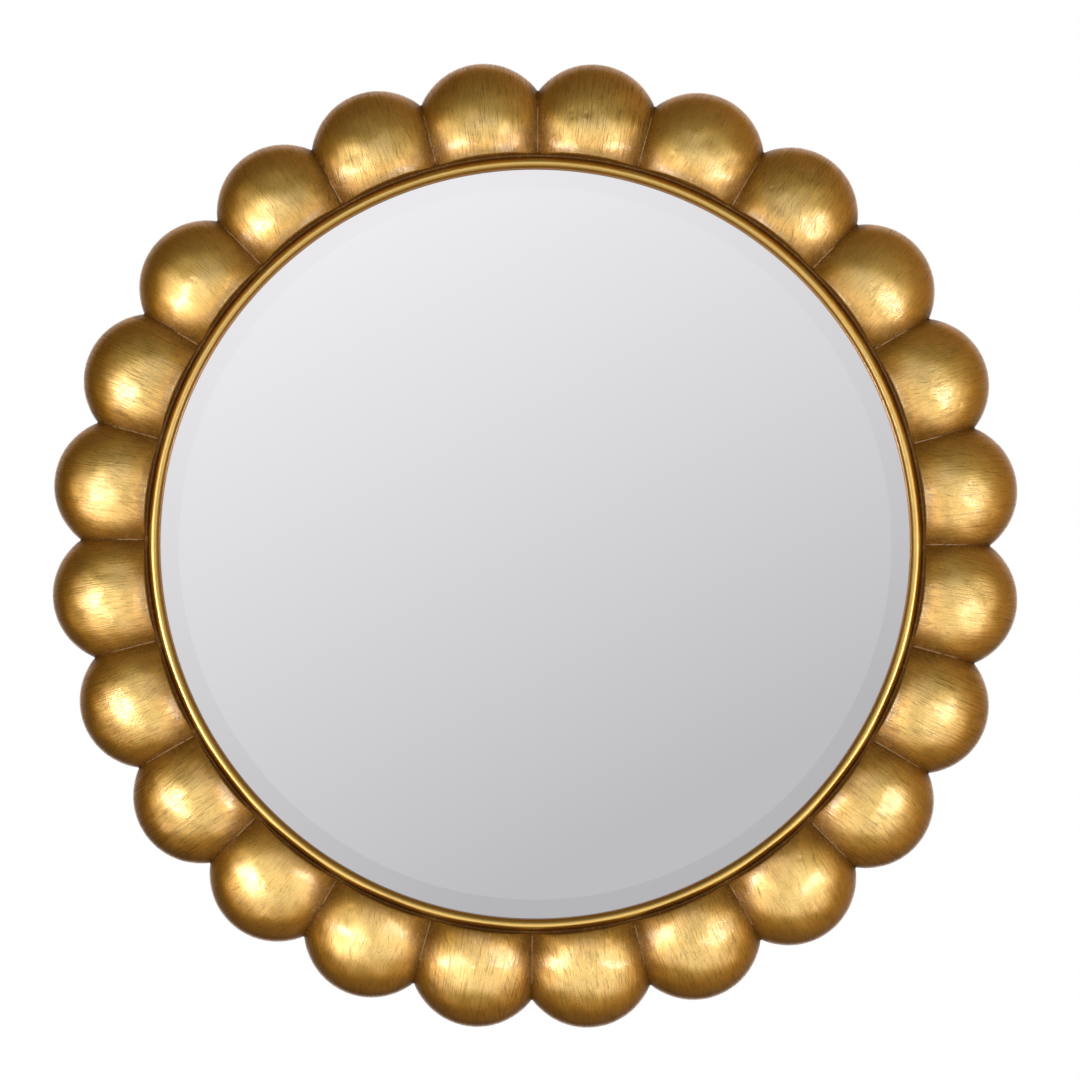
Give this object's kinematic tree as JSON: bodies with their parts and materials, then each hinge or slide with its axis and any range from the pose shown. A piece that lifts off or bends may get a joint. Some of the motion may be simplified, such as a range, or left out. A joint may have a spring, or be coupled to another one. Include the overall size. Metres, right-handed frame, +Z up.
{
  "type": "round wall mirror with a bubble frame",
  "caption": "Round bevelled wall mirror in a gilt wooden frame of domed lobes with a half-round sight bead, hung by two D-rings on its back.",
  "frame": {"origin": "where the mirror's centre line meets the wall that it hangs on, so the wall is the plane Y = 0", "axes": "+Z up, +X to the right seen from the front, -Y out of the wall: the glass faces -Y and the back of the frame faces +Y"},
  "size_m": [0.9068, 0.0626, 0.9068],
  "materials": {
    "gilt_wood": "metal leaf in old gold over carved wood, brushed along the radius, with brown patina left in the creases and the groove",
    "mirror_plate": "silvered clear glass with a polished flat bevel",
    "hardboard": "brown hardboard, smooth face out",
    "plywood": "sanded birch plywood with stained edges",
    "zinc_steel": "bright zinc plate on pressed steel",
    "rubber_bumper": "matt black moulded rubber"
  },
  "bodies": {
    "frame": {"lobe_01": "gilt_wood", "lobe_02": "gilt_wood", "lobe_03": "gilt_wood", "lobe_04": "gilt_wood", "lobe_05": "gilt_wood", "lobe_06": "gilt_wood", "lobe_07": "gilt_wood", "lobe_08": "gilt_wood", "lobe_09": "gilt_wood", "lobe_10": "gilt_wood", "lobe_11": "gilt_wood", "lobe_12": "gilt_wood", "lobe_13": "gilt_wood", "lobe_14": "gilt_wood", "lobe_15": "gilt_wood", "lobe_16": "gilt_wood", "lobe_17": "gilt_wood", "lobe_18": "gilt_wood", "lobe_19": "gilt_wood", "lobe_20": "gilt_wood", "lobe_21": "gilt_wood", "lobe_22": "gilt_wood", "lobe_23": "gilt_wood", "lobe_24": "gilt_wood", "sight_bead": "gilt_wood", "mirror_glass": "mirror_plate", "back_board": "hardboard", "backing_ring": "plywood", "clip_1": "zinc_steel", "clip_screw_1": "zinc_steel", "clip_2": "zinc_steel", "clip_screw_2": "zinc_steel", "clip_3": "zinc_steel", "clip_screw_3": "zinc_steel", "clip_4": "zinc_steel", "clip_screw_4": "zinc_steel", "clip_5": "zinc_steel", "clip_screw_5": "zinc_steel", "clip_6": "zinc_steel", "clip_screw_6": "zinc_steel", "clip_7": "zinc_steel", "clip_screw_7": "zinc_steel", "clip_8": "zinc_steel", "clip_screw_8": "zinc_steel", "hanger_left_strap": "zinc_steel", "hanger_left_upper_screw": "zinc_steel", "hanger_left_lower_screw": "zinc_steel", "hanger_right_strap": "zinc_steel", "hanger_right_upper_screw": "zinc_steel", "hanger_right_lower_screw": "zinc_steel", "bumper_upper_left": "rubber_bumper", "bumper_upper_right": "rubber_bumper", "bumper_lower_left": "rubber_bumper", "bumper_lower_right": "rubber_bumper"},
    "left_ring": {"hanger_left_ring": "zinc_steel"},
    "right_ring": {"hanger_right_ring": "zinc_steel"}
  },
  "joints": [
    {"name": "left_ring_swing", "type": "hinge", "parent": "frame", "child": "left_ring", "pos_m": [-0.37278, -0.00465, 0.17741], "axis": [1, 0, 0], "range_deg": [0, 187]},
    {"name": "right_ring_swing", "type": "hinge", "parent": "frame", "child": "right_ring", "pos_m": [0.37278, -0.00465, 0.17741], "axis": [1, 0, 0], "range_deg": [0, 187]}
  ]
}
